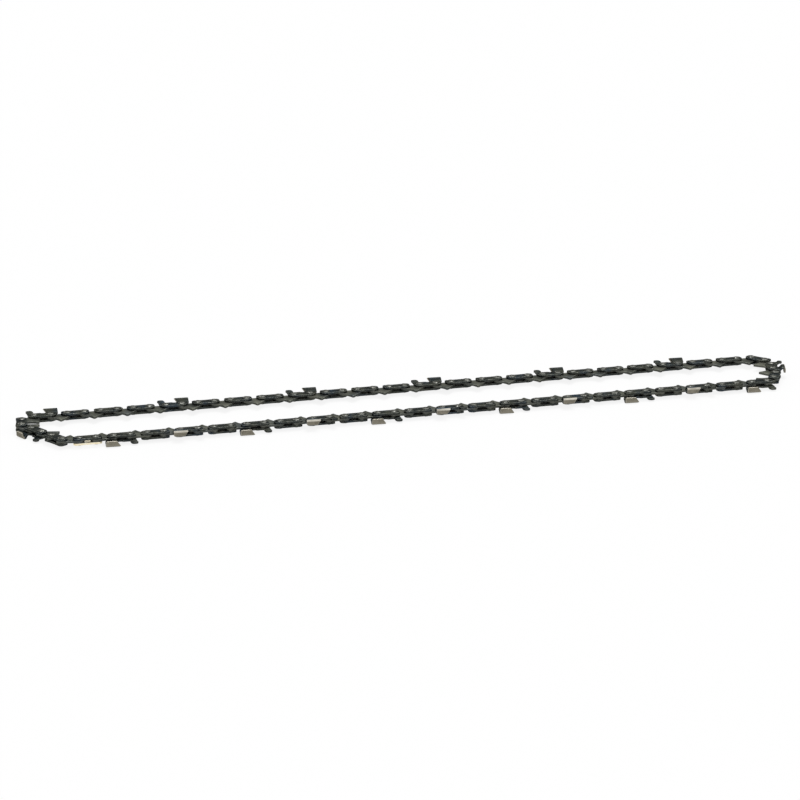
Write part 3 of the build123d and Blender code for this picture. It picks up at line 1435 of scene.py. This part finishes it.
@dataclass
class Chain:
    """The whole chain: its stamped parts, its finishes, and the pieces laid round the loop."""

    start: Vector
    gauge: ChainGauge = field(default_factory=ChainGauge)
    # painted highlight on the bends of the lower cutters, which face down into shade
    lower_cutter_highlight: float = 0.15

    def __post_init__(self) -> None:
        """Make one of each stamped part and each finish."""
        self.path = LoopPath(self.gauge, self.start)
        self.frames = self.path.frames()
        self.drive_link = DriveLink(self.gauge).mesh()
        self.tie_strap = TieStrap(self.gauge).mesh()
        self.rivet = Rivet(self.gauge).mesh()
        # Upper and lower cutters differ only in the painted highlight on their bend, which the
        # lower ones get much less of.
        self.cutters = {
            Side.UPPER: Cutter(self.gauge).mesh(),
            Side.LOWER: Cutter(self.gauge, painted_bend_highlight=self.lower_cutter_highlight).mesh(),
        }
        self.link_steel = OiledSteel().material()
        # the drive links get a paler copy of the steel, which is partly painted light
        self.drive_steel = PaleAndLitSteel().material()
        self.rivet_steel = SpunSteel().material()
        self.plating = HardPlating().material()
        self.gold = GoldPassivation().material()

    @staticmethod
    def _stamp(
        shape: bmesh.types.BMesh,
        part: bpy.types.Mesh,
        frame: Matrix,
        finish: int = 0,
        side: Side = Side.UPPER,
    ) -> None:
        """Add a stamped part to a shape.

        Args:
            shape: Shape that gets the part.
            part: The part, in the frame of a link.
            frame: Frame of the link.
            finish: Number of the part's first finish on the piece.
            side: Face of the chain that the part lies on.
        """
        verts, faces = len(shape.verts), len(shape.faces)
        shape.from_mesh(part)
        added = shape.faces[faces:]
        place = frame @ Matrix.Diagonal((1.0, 1.0, side.value, 1.0))
        bmesh.ops.transform(shape, matrix=place, verts=shape.verts[verts:])
        bmesh.ops.recalc_face_normals(shape, faces=added)
        for face in added:
            face.material_index += finish

    def _piece(
        self,
        name: str,
        shape: bmesh.types.BMesh,
        finishes: list[bpy.types.Material],
        body: str,
        node: str,
    ) -> None:
        """Turn a shape into a finished piece on its body.

        Args:
            name: Name of the piece.
            shape: Its shape, in place.
            finishes: Its materials.
            body: Body that it moves with.
            node: Solid that it stands for.
        """
        mesh = as_mesh(shape, name)
        for finish in finishes:
            mesh.materials.append(finish)
        mesh.shade_smooth()
        mesh.set_sharp_from_angle(angle=math.radians(SHADED_SHARP_FROM))
        piece = bpy.data.objects.new(name, mesh)
        bpy.context.scene.collection.objects.link(piece)
        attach(piece, body)
        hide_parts(node)
        LOG.info("%s: %d faces", name, len(mesh.polygons))

    def _lay_drive_link(self, link: int, body: str) -> None:
        """Lay one drive link.

        Args:
            link: Number of the link.
            body: Body that it moves with.
        """
        shape = bmesh.new()
        self._stamp(shape, self.drive_link, self.frames[link])
        self._piece(f"{body}.drive_link", shape, [self.drive_steel], body, body)

    def _lay_cutter(self, link: int, body: str, side: Side) -> None:
        """Lay one cutter.

        Args:
            link: Number of the link.
            body: Body that it moves with.
            side: Face of the chain that it lies on.
        """
        shape = bmesh.new()
        self._stamp(shape, self.cutters[side], self.frames[link], 0, side)
        finishes = [self.link_steel, self.plating]
        self._piece(f"{body}.cutter", shape, finishes, body, body)

    def _lay_straps(self, link: int, body: str, sides: list[Side]) -> None:
        """Lay the straps of a link with its two rivets.

        Args:
            link: Number of the link.
            body: Body that they move with.
            sides: Faces of the chain that have a strap.
        """
        shape = bmesh.new()
        for side in sides:
            self._stamp(shape, self.tie_strap, self.frames[link], 0, side)
        for rivet in (link, (link + 1) % self.path.links):
            self._stamp(shape, self.rivet, self.frames[rivet], 1)
        finishes = [self.link_steel, self.rivet_steel]
        self._piece(f"{body}.straps_and_rivets", shape, finishes, body, body)

    def _lay_marker(self, link: int, body: str) -> None:
        """Lay the gold strap.

        Args:
            link: Number of the link.
            body: Body that it moves with.
        """
        shape = bmesh.new()
        self._stamp(shape, self.tie_strap, self.frames[link], 0, Side.LOWER)
        name = f"{MARKER_NODE}.strap"
        self._piece(name, shape, [self.gold], body, MARKER_NODE)

    def lay_link(self, link: int) -> None:
        """Lay all the pieces of one link.

        Args:
            link: Number of the link.
        """
        body = self.path.body(link)
        kind = self.path.kind(link)
        if kind is LinkKind.DRIVE_LINK:
            self._lay_drive_link(link, body)
        elif kind is LinkKind.UPPER_CUTTER:
            self._lay_cutter(link, body, Side.UPPER)
            self._lay_straps(link, body, [Side.LOWER])
        elif kind is LinkKind.LOWER_CUTTER:
            self._lay_cutter(link, body, Side.LOWER)
            self._lay_straps(link, body, [Side.UPPER])
        elif link == self.path.marker_link:
            self._lay_marker(link, body)
            self._lay_straps(link, body, [Side.UPPER])
        else:
            self._lay_straps(link, body, [Side.UPPER, Side.LOWER])

    def lay(self) -> None:
        """Lay every link of the loop."""
        for link in range(self.path.links):
            self.lay_link(link)


@dataclass(frozen=True)
class Studio:
    """Floor, soft light and the camera."""

    azimuth: float = -14.86
    elevation: float = 16.5
    roll: float = -0.414
    distance: float = 1.5726
    focal_pixels: float = 2765.0
    frame_pixels: float = 800.0
    target: Triple = (-9.17 * MM, 0.0, 3.72 * MM)
    sensor: float = 36.0
    floor_radius: float = 6.0
    floor_segments: int = 64
    ambient: float = 0.6
    key_strength: float = 1.5
    key_spread: float = 32.0
    key_tilt: Triple = (-28.0, 14.0, 0.0)

    def lay_floor(self) -> None:
        """A round floor under the chain."""
        shape = bmesh.new()
        bmesh.ops.create_circle(
            shape, cap_ends=True, radius=self.floor_radius, segments=self.floor_segments
        )
        mesh = as_mesh(shape, "floor")
        mesh.materials.append(PaleFloor().material())
        floor = bpy.data.objects.new("floor", mesh)
        bpy.context.scene.collection.objects.link(floor)

    def light(self) -> None:
        """One broad overhead lamp, and a white surround that metal and camera see."""
        lamp = bpy.data.lights.new("overhead", "SUN")
        lamp.energy = self.key_strength
        lamp.angle = math.radians(self.key_spread)
        overhead = bpy.data.objects.new("overhead", lamp)
        overhead.rotation_euler = [math.radians(tilt) for tilt in self.key_tilt]
        bpy.context.scene.collection.objects.link(overhead)
        world = bpy.data.worlds.new("surround")
        world.use_nodes = True
        bpy.context.scene.world = world
        graph = Graph(world.node_tree)
        strength = self.ambient + (1.0 - self.ambient) * graph.shown()
        glow = graph.node("ShaderNodeBackground", None, {"Color": WHITE, "Strength": strength})
        graph.node("ShaderNodeOutputWorld", None, {"Surface": glow})

    def place_camera(self) -> None:
        """The camera, above the near side of the loop."""
        turn, tilt = math.radians(self.azimuth), math.radians(self.elevation)
        level = math.cos(tilt)
        back = Vector((math.sin(turn) * level, -math.cos(turn) * level, math.sin(tilt)))
        lens = bpy.data.cameras.new("camera")
        lens.sensor_width = self.sensor
        lens.lens = self.focal_pixels * self.sensor / self.frame_pixels
        camera = bpy.data.objects.new("camera", lens)
        aim = (-back).to_track_quat("-Z", "Y").to_matrix().to_4x4()
        roll = Matrix.Rotation(math.radians(self.roll), 4, "Z")
        spot = Vector(self.target) + self.distance * back
        camera.matrix_world = Matrix.Translation(spot) @ aim @ roll
        bpy.context.scene.collection.objects.link(camera)
        bpy.context.scene.camera = camera

    def set_up(self) -> None:
        """Set up the whole studio."""
        self.lay_floor()
        self.light()
        self.place_camera()
        bpy.context.scene.view_settings.view_transform = "Standard"


def first_rivet(record: dict[str, Any]) -> Vector:
    """Place of rivet 0, from the joint that stands on it.

    Args:
        record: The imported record.

    Returns:
        The place, in metres.
    """
    joints = {joint["name"]: joint for joint in record["behaviour"]["joints"]}
    return Vector(joints[FIRST_PIVOT]["pos_m"])


def main() -> None:
    """Lay the chain on its frame and set up the studio."""
    logging.basicConfig(level=logging.INFO, format="%(name)s: %(message)s")
    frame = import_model()
    Chain(first_rivet(frame["record"])).lay()
    Studio().set_up()


if __name__ == "__main__":
    main()
